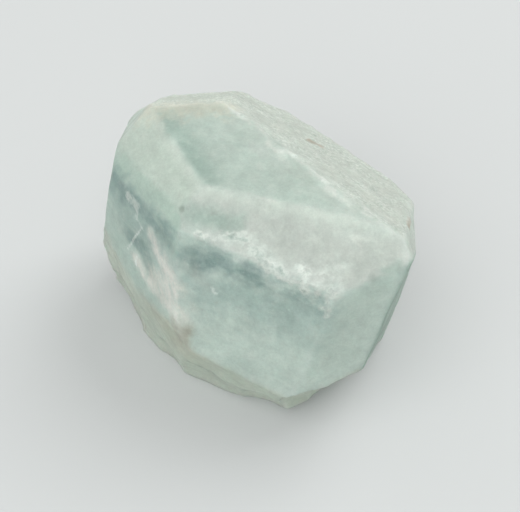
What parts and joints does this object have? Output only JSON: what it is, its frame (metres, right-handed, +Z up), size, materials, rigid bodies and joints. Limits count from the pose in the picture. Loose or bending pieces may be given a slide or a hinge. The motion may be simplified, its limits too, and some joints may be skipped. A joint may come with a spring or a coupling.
{
  "type": "aquamarine crystal",
  "caption": "Short, thick aquamarine prism, milky pale blue-green, with sloping frosted shoulders and a broken base that it stands on.",
  "frame": {"origin": "middle of the stone's footprint box, on the level patch that it rests on", "axes": "+Z up, +X to the right along the stone's longest side, -Y towards the smooth front faces"},
  "size_m": [0.0392, 0.0362, 0.0286],
  "materials": {
    "beryl": "milky translucent beryl: smooth growth faces, frosted shoulders, etched rough back and chipped, stained base"
  },
  "bodies": {
    "root": {"crystal": "beryl"}
  },
  "joints": []
}
